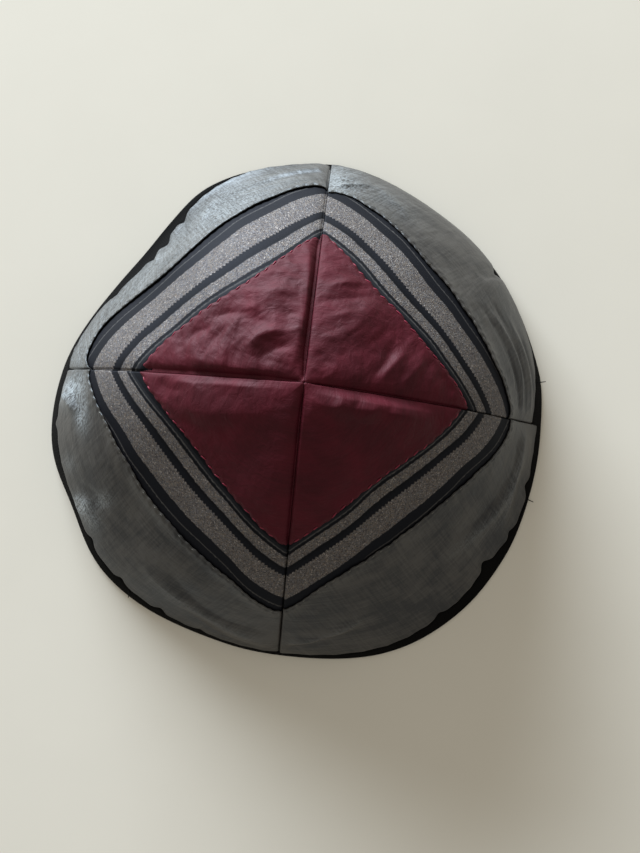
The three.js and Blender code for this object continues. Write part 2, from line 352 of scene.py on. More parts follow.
nap = node(cotton, "ShaderNodeBump", {}, {
    "Strength": 0.5, "Distance": 0.12 * MM, "Height": weave.outputs[0]})
face = node(cotton, "ShaderNodeBsdfPrincipled", {}, {
    "Base Color": tone.outputs[0], "Roughness": 0.8, "Specular IOR Level": 0.06, "Normal": nap.outputs[0]})
node(cotton, "ShaderNodeOutputMaterial", {}, {0: face.outputs[0]})
lining.data.materials.append(cotton)
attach(lining, "root")
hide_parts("lining")


# Ribbon: a woven band about 25 mm wide in each gore, black satin with two stripes of silver metallic thread
# and two hairlines. It is laid over the lining, and its selvages are caught under tip and skirt.
RIBBON_THICKNESS = 0.35
RIBBON_LIFT = 0.95
RIBBON_RIPPLE = 0.10
RIBBON_COLUMNS = 180
RIBBON_ROWS = 48
# How far the ribbon goes on under tip and skirt, how far its selvage goes down there and over what length
RIBBON_UNDER = 4.0
SELVAGE_DROP = 0.5
SELVAGE_RUN = 2.5
# Beside the skirt the outer edge is painted near black, partly the selvage's own black and partly painted
# shade, which ends between these distances.
SHADE_FROM, SHADE_TO = 0.2, 0.7

# Lengths over the cloth from the apex, at even steps across the gore: the tip's edge over the ribbon, the
# skirt's edge over it, the outer side of the broad silver stripe and the inner side of the narrow one.
TIP_EDGES = (
    (53.8, 40.8, 37.6, 40.0, 53.0), (53.0, 39.3, 37.0, 42.2, 53.6),
    (53.0, 41.3, 39.0, 42.0, 51.5), (50.0, 40.2, 38.4, 41.3, 50.4),
)
SKIRT_EDGES = (
    (76.5, 70.3, 65.0, 62.0, 60.6, 60.2, 61.2, 64.8, 69.3, 74.2, 77.3),
    (80.8, 78.0, 73.6, 69.4, 65.8, 63.8, 64.4, 69.4, 77.2, 82.4, 79.6),
    (79.0, 71.4, 66.5, 64.3, 63.7, 63.6, 64.0, 65.3, 67.5, 72.5, 79.0),
    (77.3, 67.6, 62.7, 60.7, 60.2, 60.2, 61.2, 63.2, 66.5, 72.4, 77.3),
)
BROAD_EDGES = (
    (74.0, 66.3, 60.3, 56.4, 54.7, 53.9, 55.5, 58.7, 62.4, 68.0, 74.0),
    (76.5, 71.0, 64.9, 60.9, 57.5, 56.4, 57.6, 60.9, 66.5, 72.6, 77.2),
    (75.2, 67.6, 61.6, 59.0, 57.5, 57.2, 57.4, 58.3, 61.0, 66.5, 71.2),
    (72.0, 64.3, 59.5, 56.4, 55.5, 55.4, 56.1, 57.5, 59.9, 65.4, 70.4),
)
NARROW_EDGES = (
    (57.5, 50.6, 45.7, 43.0, 41.0, 40.0, 40.2, 42.0, 45.4, 49.4, 54.0),
    (56.5, 48.2, 43.0, 40.4, 39.5, 39.8, 41.2, 43.4, 46.6, 51.8, 57.5),
    (58.8, 51.4, 46.4, 43.7, 42.6, 42.4, 42.9, 44.0, 46.7, 50.3, 55.0),
    (54.0, 47.8, 44.4, 42.3, 40.6, 40.3, 41.0, 42.4, 44.7, 48.4, 53.2),
)
# The ribbon's pattern, in millimetres from its outer selvage: where the broad stripe begins and ends, where
# the narrow stripe begins and ends, and where the two hairlines lie
BROAD, NARROW, HAIRLINES = (7.3, 15.7), (18.3, 21.9), (3.5, 23.2)

# How the cloth goes down into each gore's first and last seam: the width and depth of the soft roll beside
# the seam, and the half-width and depth of the groove in it. The side that the seam allowance is pressed to
# stands high. Rolls and grooves fade out near the apex, where the gore is narrower than these widths.
SEAM_ROLLS = (
    ((2.0, 0.8, 0.5, 0.5), (1.2, 0.1, 0.25, 0.5)), ((2.2, 1.9, 1.0, 0.9), (2.2, 1.6, 0.9, 0.9)),
    ((1.5, 0.1, 0.25, 0.5), (1.6, 0.9, 0.6, 0.5)), ((1.6, -0.5, 0.5, 1.0), (1.5, 0.1, 0.25, 0.5)),
)
ROLL_WIDTH = 16
GROOVE_WIDTH = 5
STIFF_GROOVE = 0.2
SEAM_FLOOR = 0.08
SEAM_GAP = 0.05
# How far the ribbon follows the rolls, where 0 is for a stiff cloth and 1 for a soft one
RIBBON_SOFTNESS = 0.35


def gore_shares(columns):
    """Shares of a gore's width, closer together beside the seams"""
    even = np.linspace(0, 1, columns + 1)
    return 0.4 * even + 0.3 * (1 - np.cos(math.pi * even))


def gore_grid(gore, share, length):
    """Wall points, normals, and the distances in millimetres across a gore from its two seams"""
    gap = np.minimum(SEAM_GAP / (GORE_SPREAD * np.maximum(length, 0.4)), 0.05)
    point, normal = wall_frame(gore + gap + (1 - 2 * gap) * share, length)
    step = np.linalg.norm(np.diff(point, axis=1), axis=-1)
    from_first = np.concatenate([np.zeros((len(step), 1)), np.cumsum(step, axis=1)], axis=1)
    return point, normal, from_first, from_first[:, -1:] - from_first


def seam_lift(gore, lift, from_first, from_last, softness):
    """A lift that rolls down towards both seams, the more the softer the cloth, and dives into them"""
    width = from_first + from_last
    for aside, (roll, drop, half, groove) in zip((from_first, from_last), SEAM_ROLLS[gore]):
        narrow = STIFF_GROOVE + softness * (half - STIFF_GROOVE)
        lift = lift - np.minimum(width / ROLL_WIDTH, 1) * softness * drop * np.exp(-(aside / roll) ** 1.5)
        lift = lift - groove * ease(0, GROOVE_WIDTH, width) * np.exp(-(aside / narrow) ** 2)
    return np.maximum(lift, SEAM_FLOOR)


# Satin with metallic thread: the black ground is smooth and takes a slate sheen in the light, the stripes
# glitter as grains of dull silver with a few of bronze, and the broad stripe ends in small teeth. A grain is
# about 0.2 mm of foil thread, drawn at 0.3 mm so that it shows.
GRAIN = 0.3
TOOTH = 1.25
# Where the teeth fade in, are full and end, in millimetres from the outer selvage, and how steep they are
TEETH_FROM, TEETH_FULL, TEETH_END, TEETH_STEEP = 12.0, 14.5, 17.2, 0.9
# The threads waver by half a millimetre over about one. The stripes' edges are a little soft, and a hairline is
# full within the first distance of its middle and gone at the second. The ramps cover a little over the width.
WAVER, WAVER_RUN = 0.5, 1.11
STRIPE_SOFT = 0.12
HAIRLINE_FULL, HAIRLINE_GONE = 0.08, 0.28
RAMP_WIDTH = 26.0
OFF, ON = "#000000", "#ffffff"


def ribbon_stops(stops):
    """A ramp's stops from distances in millimetres from the outer selvage, as the wavering pattern has them"""
    return [(0.0, stops[0][1])] + [((at + WAVER / 2) / RAMP_WIDTH, code) for at, code in stops]


stripe_stops, hairline_stops = [], []
for start, end in (BROAD, NARROW):
    stripe_stops += [(start - STRIPE_SOFT, OFF), (start + STRIPE_SOFT, ON)]
    stripe_stops += [(end - STRIPE_SOFT, ON), (end + STRIPE_SOFT, OFF)]
for at in HAIRLINES:
    hairline_stops += [(at - HAIRLINE_GONE, OFF), (at - HAIRLINE_FULL, ON)]
    hairline_stops += [(at + HAIRLINE_FULL, ON), (at + HAIRLINE_GONE, OFF)]
satin = plain_material("black satin ribbon with silver metallic thread")
chart = node(satin, "ShaderNodeUVMap", {"uv_map": "cloth"})
axes = node(satin, "ShaderNodeSeparateXYZ", {}, {0: chart.outputs[0]})
tooth = node(satin, "ShaderNodeMath", {"operation": "PINGPONG"}, {0: axes.outputs[0], 1: TOOTH / 2})
at_inner = node(satin, "ShaderNodeMapRange", {"interpolation_type": "SMOOTHSTEP"}, {
    0: axes.outputs[1], 1: TEETH_FROM, 2: TEETH_FULL, 3: 0.0, 4: TEETH_STEEP})
past_inner = node(satin, "ShaderNodeMath", {"operation": "LESS_THAN"}, {0: axes.outputs[1], 1: TEETH_END})
near_inner = node(satin, "ShaderNodeMath", {"operation": "MULTIPLY"}, {
    0: past_inner.outputs[0], 1: at_inner.outputs[0]})
toothed = node(satin, "ShaderNodeMath", {"operation": "MULTIPLY"}, {
    0: tooth.outputs[0], 1: near_inner.outputs[0]})
waver = node(satin, "ShaderNodeTexNoise", {"noise_dimensions": "2D"}, {
    "Vector": chart.outputs[0], "Scale": 1 / WAVER_RUN, "Detail": 2.0})
wavered = node(satin, "ShaderNodeMath", {"operation": "MULTIPLY_ADD"}, {
    0: waver.outputs[0], 1: WAVER, 2: axes.outputs[1]})
pattern = node(satin, "ShaderNodeMath", {"operation": "ADD"}, {0: wavered.outputs[0], 1: toothed.outputs[0]})
scaled = node(satin, "ShaderNodeMath", {"operation": "DIVIDE"}, {0: pattern.outputs[0], 1: RAMP_WIDTH})
silver = node(satin, "ShaderNodeValToRGB", {}, {0: scaled.outputs[0]}, ribbon_stops(stripe_stops))
hairline = node(satin, "ShaderNodeValToRGB", {}, {0: scaled.outputs[0]}, ribbon_stops(hairline_stops))
grains = node(satin, "ShaderNodeTexVoronoi", {"voronoi_dimensions": "2D"}, {
    "Vector": chart.outputs[0], "Scale": 1 / GRAIN, "Randomness": 1.0})
grain_parts = node(satin, "ShaderNodeSeparateColor", {}, {0: grains.outputs["Color"]})
grain_tone = node(satin, "ShaderNodeValToRGB", {}, {0: grain_parts.outputs[0]}, (
    (0.0, "#434041"), (0.18, "#565354"), (0.4, "#625a54"), (0.55, "#5e5d5f"), (0.74, "#6b655f"),
    (0.88, "#6d6c6e"), (0.95, "#8c8784")))
grain_tone.color_ramp.interpolation = "CONSTANT"
ground = node(satin, "ShaderNodeValToRGB", {}, {0: scaled.outputs[0]}, ribbon_stops((
    (17.2, "#0b0c10"), (17.5, "#040405"), (22.7, "#040405"), (22.9, "#191a1d"), (24.2, "#191a1d"),
    (24.5, "#040405"))))
broken = node(satin, "ShaderNodeMath", {"operation": "MULTIPLY"}, {
    0: hairline.outputs[0], 1: waver.outputs[0]})
lined = node(satin, "ShaderNodeMix", {"data_type": "RGBA"}, {
    0: broken.outputs[0], 6: ground.outputs[0], 7: linear("#5f5e5d")})
# Painted shade: near the skirt's edge the satin is mixed to near black, partly the selvage's own black and
# partly painted shade
shaded = node(satin, "ShaderNodeAttribute", {"attribute_name": "painted_shade_and_sheen"})
selvage_and_painted_shade = node(satin, "ShaderNodeMix", {"data_type": "RGBA"}, {
    0: shaded.outputs["Fac"], 6: lined.outputs[2], 7: linear("#030304")})
striped = node(satin, "ShaderNodeMix", {"data_type": "RGBA"}, {
    0: silver.outputs[0], 6: selvage_and_painted_shade.outputs[2], 7: grain_tone.outputs[0]})
metal = node(satin, "ShaderNodeMath", {"operation": "MULTIPLY"}, {0: silver.outputs[0], 1: 0.12})
glitter = node(satin, "ShaderNodeMapRange", {}, {0: grain_parts.outputs[1], 1: 0.0, 2: 1.0, 3: 0.42, 4: 0.6})
gloss = node(satin, "ShaderNodeMix", {"data_type": "FLOAT"}, {
    0: silver.outputs[0], 2: 0.72, 3: glitter.outputs[0]})
grain_height = node(satin, "ShaderNodeMath", {"operation": "MULTIPLY"}, {
    0: grains.outputs["Distance"], 1: silver.outputs[0]})
relief = node(satin, "ShaderNodeBump", {}, {
    "Strength": 0.7, "Distance": 0.15 * MM, "Height": grain_height.outputs[0]})
face = node(satin, "ShaderNodeBsdfPrincipled", {}, {
    "Base Color": striped.outputs[2], "Metallic": metal.outputs[0], "Roughness": gloss.outputs[0],
    "Specular IOR Level": 0.22, "Specular Tint": linear("#c4cfec"), "Normal": relief.outputs[0]})
node(satin, "ShaderNodeOutputMaterial", {}, {0: face.outputs[0]})

for gore, name in enumerate(GORES):
    share = gore_shares(RIBBON_COLUMNS)
    row = np.linspace(0, 1, RIBBON_ROWS + 1)[:, None]
    inner = across(TIP_EDGES[gore], share) - RIBBON_UNDER
    outer = across(SKIRT_EDGES[gore], share) + RIBBON_UNDER
    length = inner + (outer - inner) * row
    point, normal, from_first, from_last = gore_grid(gore, share + 0 * length, length)
    middle = (from_first - from_last) / 2
    lift = RIBBON_LIFT + RIBBON_RIPPLE * ripple(middle, length, 15, 30 + gore)
    lift = lift - SELVAGE_DROP * ease(0, SELVAGE_RUN, inner + RIBBON_UNDER - length)
    lift = lift - SELVAGE_DROP * ease(0, SELVAGE_RUN, length - outer + RIBBON_UNDER)
    lift = seam_lift(gore, lift, from_first, from_last, RIBBON_SOFTNESS)
    point = point + normal * lift[..., None]
    broad, narrow = across(BROAD_EDGES[gore], share), across(NARROW_EDGES[gore], share)
    from_selvage = BROAD[0] + (NARROW[1] - BROAD[0]) * (broad - length) / (broad - narrow)
    # Painted shade: how near a point lies to the skirt's edge, where the satin is painted near black
    beside = 1 - ease(SHADE_FROM, SHADE_TO, outer - RIBBON_UNDER - length)
    ribbon = cloth_piece("striped_ribbon_" + name, point, np.stack([middle, from_selvage], -1), painted_shade_and_sheen=beside)
    give_thickness(ribbon, RIBBON_THICKNESS, -1)
    ribbon.data.materials.append(satin)
    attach(ribbon, "root")
    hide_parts("ribbon_" + name)


# Tips: a triangle of maroon silk taffeta at the top of each gore. Its lower edge is turned under, laid over
# the ribbon and topstitched; its sides are sewn into the seams. The silk is crushed and has kept its creases.
CLOTH_THICKNESS = 0.3
SILK_SOFTNESS = 1.0
# The grid of a tip: the length from the apex at which it starts, and its columns
TIP_START = 0.12
TIP_COLUMNS = 160
# Heights of the silk in its middle and at its edge, how far it puffs up between the seams, and its lowest
TIP_LIFT = 1.0
TIP_EDGE_LIFT = 1.5
TIP_PUFF = 0.7
TIP_LOWEST = 0.4
# The turned edge: its radius, how far round it turns, and how deep its scallops and its wavering are
EDGE_RADIUS = 0.45
EDGE_TURN = math.radians(85)
TIP_SCALLOP = 0.12
TIP_WAVER = 0.25
# How deep the crushing is in each gore, in millimetres, and how far apart its creases lie
TIP_CRUSH = ((0.26, 10.0), (0.40, 9.0), (0.16, 11.0), (0.12, 11.0))
# The finest creases, as shares of that depth and distance
FINE_DEPTH, FINE_PITCH = 0.25, 0.4
# Larger creases: the gore, the share of the width and length from the apex of each end, half-width and height
TIP_CREASES = (
    (0, 0.28, 32, 0.10, 21, 1.4, 0.7), (0, 0.34, 30, 0.15, 20, 1.6, -0.5), (0, 0.22, 37, 0.08, 28, 1.5, 0.5),
    (0, 0.34, 18, 0.40, 38, 4.5, -0.8), (0, 0.62, 16, 0.62, 36, 4.2, 1.0), (0, 0.95, 30, 0.72, 38, 1.6, 0.6),
    (0, 0.92, 26, 0.66, 35, 1.5, -0.5), (0, 0.88, 20, 0.68, 27, 1.8, 0.5), (0, 0.86, 14, 0.55, 18, 1.8, 0.4),
    (0, 0.45, 8, 0.85, 9, 1.6, -0.5),
    (1, 0.286, 8, 0.055, 47, 2.0, 1.2), (1, 0.76, 8, 0.91, 34, 3.2, 1.0), (1, 0.20, 15, 0.78, 20, 2.0, 1.2),
    (1, 0.22, 11, 0.76, 15.5, 1.8, -0.8), (1, 0.46, 26, 0.66, 35, 1.6, -0.7), (1, 0.38, 26, 0.58, 31, 2.0, 0.5),
    (1, 0.70, 33, 0.85, 39, 1.4, -0.6), (1, 0.78, 26, 0.97, 34, 2.0, 0.5), (1, 0.60, 22, 0.92, 27, 1.8, 0.5),
    (1, 0.10, 27, 0.44, 34, 3.0, 0.5), (1, 0.05, 20, 0.36, 24, 2.5, -0.4), (1, 0.62, 28, 0.90, 31, 1.5, -0.5),
    (2, 1.00, 6, 0.15, 44, 5.5, 1.3), (2, 0.20, 43, 0.45, 18, 3.2, -0.7), (2, 0.26, 33, 0.50, 18, 3.5, 0.5),
    (2, 0.04, 28, 0.13, 14, 1.6, 0.5), (2, 0.03, 40, 0.11, 30, 1.4, 0.4), (2, 0.09, 36, 0.03, 46, 1.3, -0.4),
    (2, 0.60, 36, 0.75, 16, 3.5, -0.3),
    (3, 0.00, 4, 0.91, 40, 3.8, 3.0), (3, 0.62, 10, 0.86, 12, 1.1, 0.5), (3, 0.66, 15, 0.80, 26, 1.4, -0.5),
    (3, 0.76, 14, 0.94, 17, 1.2, -0.5), (3, 0.70, 18, 0.94, 22, 1.2, 0.5), (3, 0.82, 24, 0.96, 27, 1.3, -0.4),
    (3, 0.28, 13, 0.44, 22, 2.6, 0.6), (3, 0.05, 9, 0.50, 8, 1.6, 0.3),
)
# Creases are charted on a gore this many times as wide as it is long, and bow by this share of their length.
CREASE_SPREAD = 1.4
CREASE_BOW = 0.06


def crease_lift(creases, gore, share, length):
    """The heights of a gore's charted creases: long ridges or furrows that die out at both ends"""
    height = np.zeros_like(length)
    x = (share - 0.5) * CREASE_SPREAD * length
    for row_gore, first_share, first_length, last_share, last_length, half, rise in creases:
        if row_gore != gore:
            continue
        first = np.array([(first_share - 0.5) * CREASE_SPREAD * first_length, first_length])
        last = np.array([(last_share - 0.5) * CREASE_SPREAD * last_length, last_length])
        run = last - first
        reach = np.linalg.norm(run)
        part = ((x - first[0]) * run[0] + (length - first[1]) * run[1]) / reach ** 2
        bow = CREASE_BOW * reach * np.sin(np.clip(part, 0, 1) * math.pi) * math.sin(reach * 3.7)
        aside = ((x - first[0]) * run[1] - (length - first[1]) * run[0]) / reach - bow
        ends = ease(-0.15, 0.35, part) * ease(-0.15, 0.35, 1 - part)
        height += rise * ends * np.exp(-np.abs(aside / half) ** 1.5)
    return height


def rumple(x, y, pitch, seed):
    """Creases of silk that was crushed: sharp crests and furrows that lie mostly across, about -1 to 1"""
    chance = np.random.default_rng(seed)
    height = np.zeros_like(x)
    for k in range(8):
        angle = chance.normal(math.pi / 2, 0.55)
        phase, bend = chance.uniform(0, 2 * math.pi, 2)
        size = pitch * chance.uniform(0.6, 1.7)
        along = x * math.cos(angle) + y * math.sin(angle)
        aside = y * math.cos(angle) - x * math.sin(angle)
        sway = 1.3 * np.sin(2 * math.pi * aside / (2.4 * size) + bend)
        wave = np.sin(math.pi * along / size + phase + sway)
        crest = 1 - np.sqrt(wave ** 2 + 0.015)
        where = 0.5 + 0.5 * np.sin(2 * math.pi * aside / (3.1 * size) + 2 * bend)
        height += (1 if k % 2 else -1) * crest * where
    return height / 1.6


# Silk taffeta: deep maroon with a soft pink-grey sheen where it turns to the light, clouds of tone, fine slubs
# along the weft and small crinkles. Threads lie 0.2 mm apart and are drawn at 0.6 mm, or they would not show.
SLUB_LENGTH, SLUB_WIDTH = 5.0, 0.6
SILK_CLOUD = 11.1
SILK_CRINKLE = 2.5
silk = plain_material("maroon silk taffeta")
chart = node(silk, "ShaderNodeUVMap", {"uv_map": "cloth"})
long_slubs = node(silk, "ShaderNodeMapping", {}, {
    0: chart.outputs[0], 3: (1 / SLUB_LENGTH, 1 / SLUB_WIDTH, 1.0)})
slubs = node(silk, "ShaderNodeTexNoise", {"noise_dimensions": "2D"}, {
    "Vector": long_slubs.outputs[0], "Scale": 1.0, "Detail": 3.0})
clouds = node(silk, "ShaderNodeTexNoise", {"noise_dimensions": "2D"}, {
    "Vector": chart.outputs[0], "Scale": 1 / SILK_CLOUD, "Detail": 4.0, "Roughness": 0.6})
crinkle = node(silk, "ShaderNodeTexNoise", {"noise_dimensions": "2D"}, {
    "Vector": chart.outputs[0], "Scale": 1 / SILK_CRINKLE, "Detail": 4.0, "Roughness": 0.5, "Distortion": 0.4})
shade = node(silk, "ShaderNodeMath", {"operation": "MULTIPLY_ADD"}, {
    0: slubs.outputs[0], 1: 0.35, 2: clouds.outputs[0]})
tone = node(silk, "ShaderNodeValToRGB", {}, {0: shade.outputs[0]}, ((0.45, "#3a0b15"), (0.95, "#4e1320")))
gloss = node(silk, "ShaderNodeMapRange", {}, {0: clouds.outputs[0], 1: 0.3, 2: 0.7, 3: 0.58, 4: 0.68})
height = node(silk, "ShaderNodeMath", {"operation": "MULTIPLY_ADD"}, {
    0: slubs.outputs[0], 1: 0.18, 2: crinkle.outputs[0]})
relief = node(silk, "ShaderNodeBump", {}, {
    "Strength": 0.35, "Distance": 0.7 * MM, "Height": height.outputs[0]})
face = node(silk, "ShaderNodeBsdfPrincipled", {}, {
    "Base Color": tone.outputs[0], "Roughness": gloss.outputs[0], "Specular IOR Level": 0.27,
    "Specular Tint": linear("#ffd0dc"), "Normal": relief.outputs[0]})
node(silk, "ShaderNodeOutputMaterial", {}, {0: face.outputs[0]})

# Sewing thread: lighter where its twist turns up. A twist is about 0.3 mm long, drawn at 0.56 mm to show.
TWIST = 0.556


def thread_material(name, dark, light, roughness, specular):
    """Sewing thread, from its dark and light tones"""
    made = plain_material(name)
    spot = node(made, "ShaderNodeTexCoord")
    twist = node(made, "ShaderNodeTexNoise", {}, {
        "Vector": spot.outputs["Object"], "Scale": 1 / (TWIST * MM), "Detail": 2.0})
    tone = node(made, "ShaderNodeValToRGB", {}, {0: twist.outputs[0]}, ((0.0, dark), (1.0, light)))
    face = node(made, "ShaderNodeBsdfPrincipled", {}, {
        "Base Color": tone.outputs[0], "Roughness": roughness, "Specular IOR Level": specular})
    node(made, "ShaderNodeOutputMaterial", {}, {0: face.outputs[0]})
    return made


# Topstitching of the tips: crimson polyester thread, with a fine gloss. The row's pitch, its distance from the
# edge, how deep it pulls the silk between and at the stitches, each stitch's length and radius, and the share
# of them that is sunk out of sight
crimson = thread_material("crimson polyester thread", "#64142a", "#943048", 0.5, 0.3)
TIP_STITCH_PITCH = 3.5
TIP_STITCH_IN = 0.4
TIP_PULL = (0.28, 0.16)
TIP_STITCH = (2.2, 0.26, 0.1)
# For every row: where in a pitch a stitch lies, how stitches vary in length and slant, the half-width of their
# pull, and the columns of the cloth between the seams that a row takes
STITCH_AT = 0.6
STITCH_LENGTHS = (0.7, 1.1)
STITCH_SLANTS = (0.15, 0.1)
PULL_WIDTH = 0.5
SEWN = slice(3, -3)


def stitch_row(gore, share, edge, pitch):
    """The run in millimetres along a turned edge, and a wave that crests at each stitch of the edge"""
    point, _ = wall_frame(gore + share, edge)
    run = np.concatenate([[0], np.cumsum(np.linalg.norm(np.diff(point, axis=0), axis=1))])
    return run, np.cos(2 * math.pi * (run / pitch - STITCH_AT))


def sew(name, route, lift_dir, pitch, length, radius, missed, seed):
    """Stitches of thread along a route of points in millimetres, with a share of them sunk out of sight"""
    chance = np.random.default_rng(seed)
    step = np.linalg.norm(np.diff(route, axis=0), axis=1)
    run = np.concatenate([[0], np.cumsum(step)])
    thread = bmesh.new()
    for at in np.arange(pitch * STITCH_AT, run[-1] - pitch * (1 - STITCH_AT), pitch):
        if chance.random() < missed:
            continue
        ends = at + np.array([-0.5, 0.5]) * length * chance.uniform(*STITCH_LENGTHS)
        ends = [np.array([np.interp(e, run, route[:, k]) for k in range(3)]) for e in ends]
        up = Vector([np.interp(at, run, lift_dir[:, k]) for k in range(3)]).normalized()
        along = Vector(ends[1] - ends[0]).normalized()
        side = up.cross(along).normalized()
        along = (along + side * chance.normal(*STITCH_SLANTS)).normalized()
        side = up.cross(along).normalized()
        turn = Matrix((along, side, up)).transposed().to_4x4()
        size = Matrix.Diagonal((np.linalg.norm(ends[1] - ends[0]) / 2 * MM, radius * MM, radius * MM, 1))
        middle = Matrix.Translation(Vector((ends[0] + ends[1]) / 2) * MM)
        bmesh.ops.create_uvsphere(thread, u_segments=6, v_segments=6, radius=1.0,
                                  matrix=middle @ turn @ size @ Matrix.Rotation(math.pi / 2, 4, "Y"))
    stitches = finished(name, thread)
    stitches.data.shade_smooth()
    return stitches


for gore, name in enumerate(GORES):
    share = gore_shares(TIP_COLUMNS)
    edge = across(TIP_EDGES[gore], share)
    run, stitch_wave = stitch_row(gore, share, edge, TIP_STITCH_PITCH)
    edge = edge - TIP_SCALLOP * stitch_wave + TIP_WAVER * ripple(run, 0 * run, 9, 50 + gore)
    body = np.concatenate([np.linspace(0, 0.86, 66), np.linspace(0.86, 1, 16)[1:]])[:, None]
    length = TIP_START + (edge - EDGE_RADIUS - TIP_START) * body
    turn = np.linspace(0, EDGE_TURN, 6)[1:, None]
    length = np.concatenate([length, edge - EDGE_RADIUS + EDGE_RADIUS * np.sin(turn)])
    point, normal, from_first, from_last = gore_grid(gore, share + 0 * length, length)
    middle = (from_first - from_last) / 2
    near_seam = np.minimum(from_first, from_last)
    to_edge = edge - length
    # Crushing and creases die out beside the seams and the edge.
    depth, pitch = TIP_CRUSH[gore]
    calm = ease(0.3, 3.5, near_seam) * ease(0.5, 4, to_edge)
    crush = depth * rumple(middle, length, pitch, 70 + gore) + crease_lift(TIP_CREASES, gore, share, length)
    crush = crush + FINE_DEPTH * depth * rumple(middle, length, FINE_PITCH * pitch, 80 + gore)
    puff = TIP_PUFF * (1 - np.exp(-near_seam / 4)) * ease(0, 10, to_edge)
    lift = TIP_LIFT + puff + (TIP_EDGE_LIFT - TIP_LIFT) * np.exp(-(to_edge / 3.5) ** 2) + calm * crush
    pull = TIP_PULL[0] + TIP_PULL[1] * stitch_wave
    pull = pull * np.exp(-((to_edge - TIP_STITCH_IN) / PULL_WIDTH) ** 2)
    lift = np.maximum(lift - pull, TIP_LOWEST)
    lift[-len(turn):] -= EDGE_RADIUS * (1 - np.cos(turn))
    lift = seam_lift(gore, lift, from_first, from_last, SILK_SOFTNESS)
    point = point + normal * lift[..., None]
    tip = cloth_piece("silk_tip_" + name, point, np.stack([middle, length], -1), weld=0.06)
    give_thickness(tip, CLOTH_THICKNESS, -1)
    tip.data.materials.append(silk)
    at = np.argmin(np.abs(to_edge[:, TIP_COLUMNS // 2] - TIP_STITCH_IN))
    stitches = sew("tip_stitches_" + name, point[at, SEWN], normal[at, SEWN],
                   TIP_STITCH_PITCH, *TIP_STITCH, 90 + gore)
    stitches.data.materials.append(crimson)
    for piece in (tip, stitches):
        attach(piece, "root")
    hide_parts("tip_" + name)


# Skirts: dark grey shimmering taffeta below the ribbon in each gore. The upper edge is turned under, laid over
# the ribbon and sewn with small pale stitches. The hem is turned under and caught to the lining, which puckers
# the cloth.
TAFFETA_SOFTNESS = 0.4
SKIRT_COLUMNS = 240
# Heights of the taffeta in its middle, at each gore's upper edge, at the hem and at its lowest, and the height
# above the floor that its hem keeps
SKIRT_LIFT = 1.1
SKIRT_EDGE_LIFTS = (1.8, 2.0, 1.7, 1.7)
HEM_LIFT = 1.0
SKIRT_LOWEST = 0.7
HEM_CLEAR = 0.6
# The upper edge: how deep its scallops and its wavering are, and how far and wide it is rounded at the seams
SKIRT_SCALLOP = 0.16
SKIRT_WAVER = 0.35
SKIRT_ROUNDING = 1.4
ROUNDING_WIDTH = 2.6
# The depth of the small gathers below the upper edge in each gore, and of the soft swells further down
SKIRT_GATHER = (0.14, 0.24, 0.07, 0.05)
SKIRT_SWELL = (0.2, 0.2, 0.45, 0.5)
# How deep a pucker of the hem dents the cloth, as a share of its depth along the cloth
PUCKER_DENT = 0.12
# Larger creases, in the same columns as those of the tips
SKIRT_CREASES = (
    (0, 0.86, 88, 0.99, 80, 1.4, 0.8), (0, 0.70, 76, 0.86, 90, 2.4, 0.6), (0, 0.42, 94, 0.45, 80, 1.8, -0.8),
    (0, 0.01, 82, 0.34, 70, 0.9, -0.7), (0, 0.01, 84, 0.35, 73, 0.9, 0.5), (0, 0.01, 87, 0.36, 77, 0.9, -0.7),
    (0, 0.02, 91, 0.30, 84, 1.0, 0.6), (0, 0.02, 93, 0.26, 88, 0.9, -0.5),
    (1, 0.00, 93, 0.20, 88, 1.5, -0.7), (1, 0.00, 96, 0.22, 91, 1.8, 0.3), (1, 0.47, 96, 0.50, 78, 2.4, -1.3),
    (1, 0.55, 90, 0.55, 74, 2.2, -1.3), (1, 0.60, 90, 0.61, 78, 2.0, 0.8), (1, 0.34, 94, 0.42, 80, 3.0, 0.8),
    (2, 0.01, 92, 0.14, 80, 1.8, -1.0), (2, 0.05, 97, 0.12, 82, 1.4, 1.0), (2, 0.30, 96, 0.40, 82, 2.2, -1.0),
    (2, 0.60, 86, 0.98, 96, 3.0, 0.8), (2, 0.66, 80, 0.98, 88, 2.6, -0.6), (2, 0.76, 92, 0.99, 99, 2.0, -0.6),
    (3, 0.02, 97, 0.20, 89, 1.3, -1.6), (3, 0.00, 94, 0.22, 85, 1.8, 1.2), (3, 0.52, 80, 0.90, 90, 3.2, 1.0),
    (3, 0.60, 78, 0.96, 84, 2.6, -0.8), (3, 0.70, 92, 0.97, 88, 2.4, 0.8),
)
# Where a pale sheen is painted on the taffeta: gore, share of the width, length, half-sizes and amount
PAINTED_SHEEN_PATCHES = (
    (0, 0.98, 84, 8, 18, 0.9), (0, 0.82, 82, 12, 14, 0.2),
    (1, 0.30, 82, 26, 22, 0.7), (1, 0.70, 84, 26, 22, 0.5), (1, 0.97, 90, 10, 14, 0.4),
    (2, 0.05, 88, 4.2, 9, 1.5), (2, 0.13, 80, 5, 3.5, 0.9), (2, 0.36, 96, 2.6, 5, 2.0),
    (2, 0.41, 93, 3, 5, 0.5), (2, 0.25, 93, 2.5, 5, 0.3), (2, 0.38, 82, 2.5, 4, 0.6),
)
# The painted sheen that the crest of a crease has, and how deep the patches of painted sheen are crumpled
CREST_PAINTED_SHEEN = 0.2
CRUMPLE = 0.24
